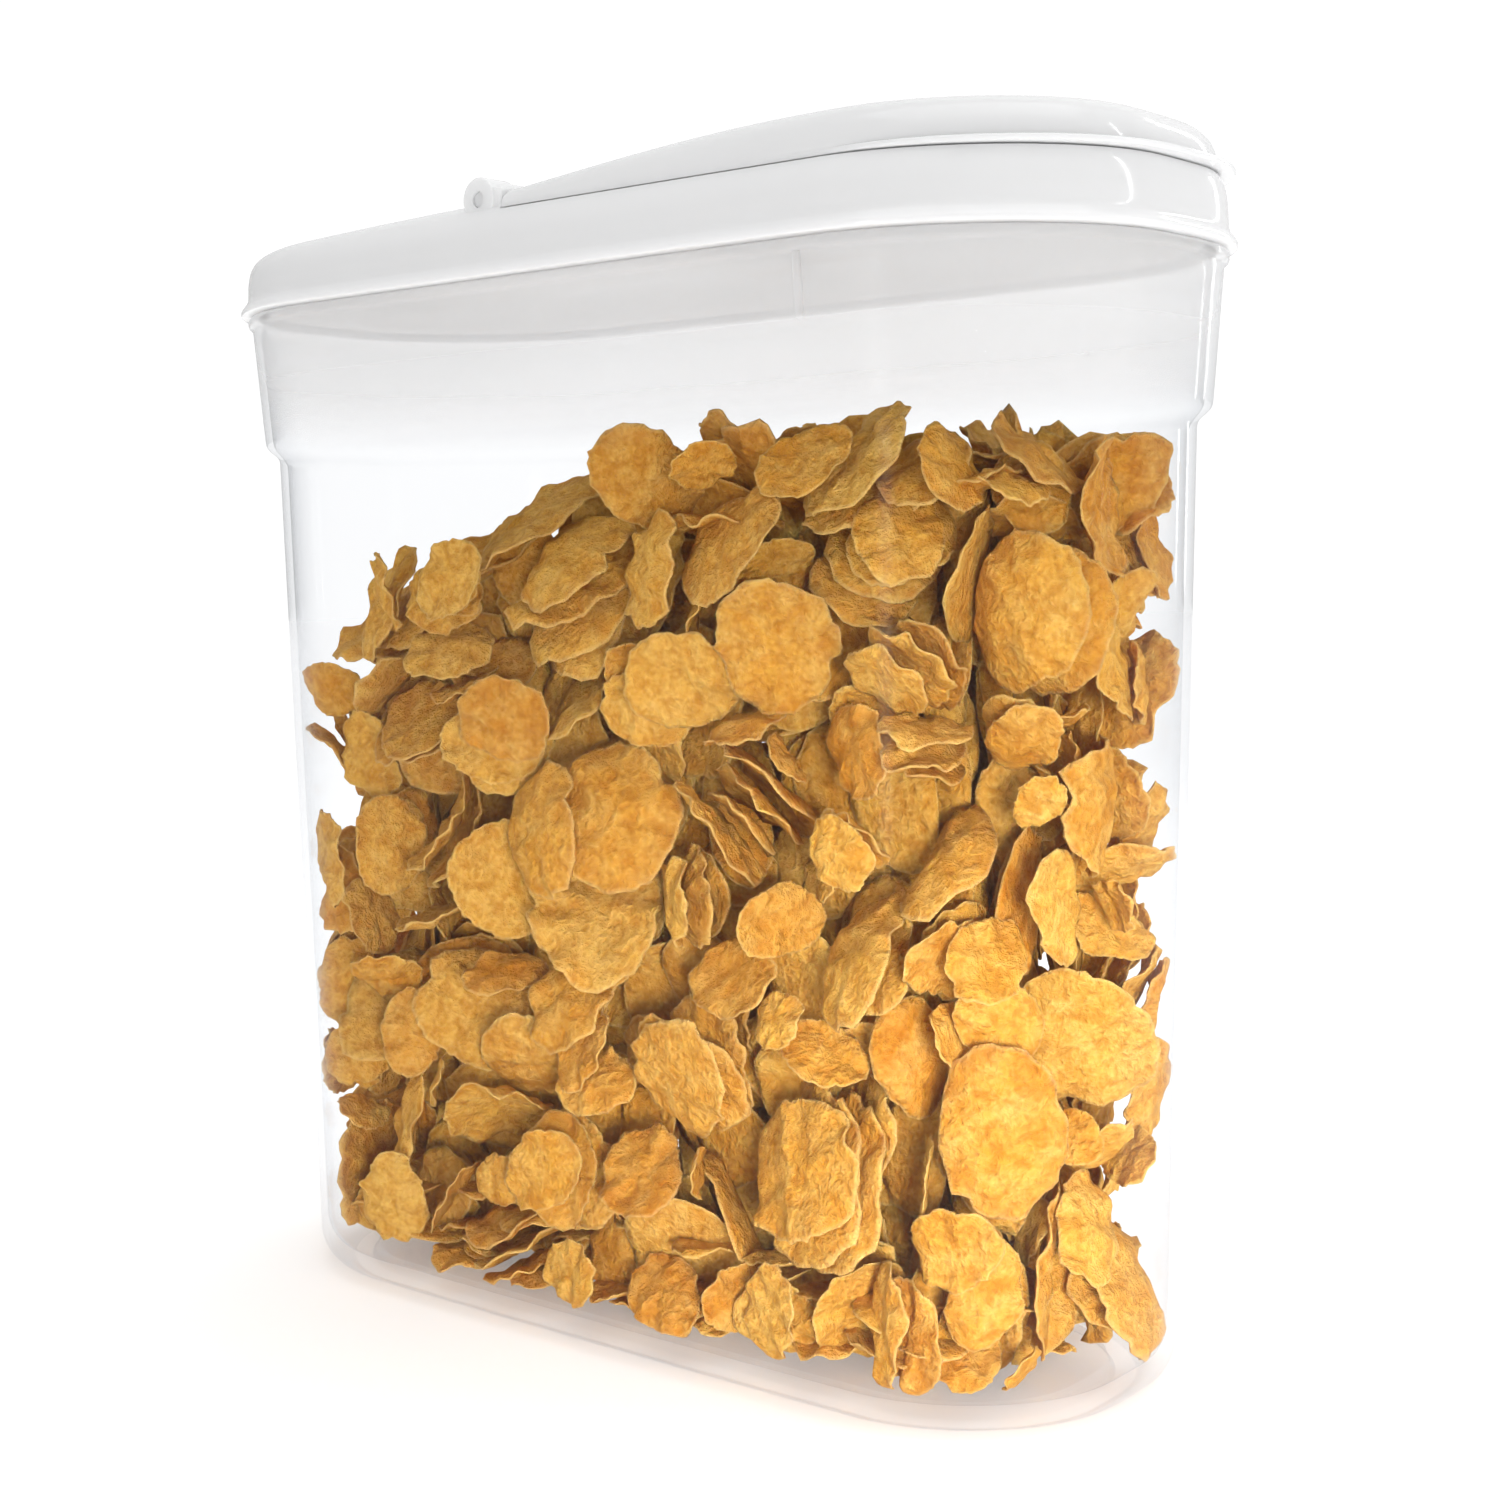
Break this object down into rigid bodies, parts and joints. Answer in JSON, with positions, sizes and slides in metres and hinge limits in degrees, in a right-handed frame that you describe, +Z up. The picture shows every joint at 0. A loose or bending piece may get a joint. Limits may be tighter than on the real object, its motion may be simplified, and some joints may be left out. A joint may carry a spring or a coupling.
{
  "type": "cereal dispenser",
  "caption": "Clear upright storage container for dry cereal with a push-fit lid and a hinged flap over the pouring opening.",
  "frame": {"origin": "on the table under the middle of the base", "axes": "+X towards the pouring end, +Z up, +Y across the narrow width"},
  "size_m": [0.2498, 0.1098, 0.2548],
  "materials": {
    "clear_body": "clear, glossy, slightly hazy",
    "lid_white": "white, glossy",
    "flap_white": "white, glossy",
    "pin_white": "white, satin",
    "seal": "soft, pale, matt"
  },
  "bodies": {
    "container": {"container": "clear_body"},
    "lid": {"lid": "lid_white", "lid_gasket": "seal"},
    "flap": {"flap": "flap_white", "hinge_pin_left": "pin_white", "hinge_pin_right": "pin_white", "flap_gasket": "seal"}
  },
  "joints": [
    {"name": "lid_lift", "type": "slide", "parent": "container", "child": "lid", "axis": [0, 0, 1], "range_m": [0, 0.12]},
    {"name": "flap_hinge", "type": "hinge", "parent": "lid", "child": "flap", "pos_m": [-0.015, 0, 0.246], "axis": [0, -1, 0], "range_deg": [0, 115]}
  ]
}
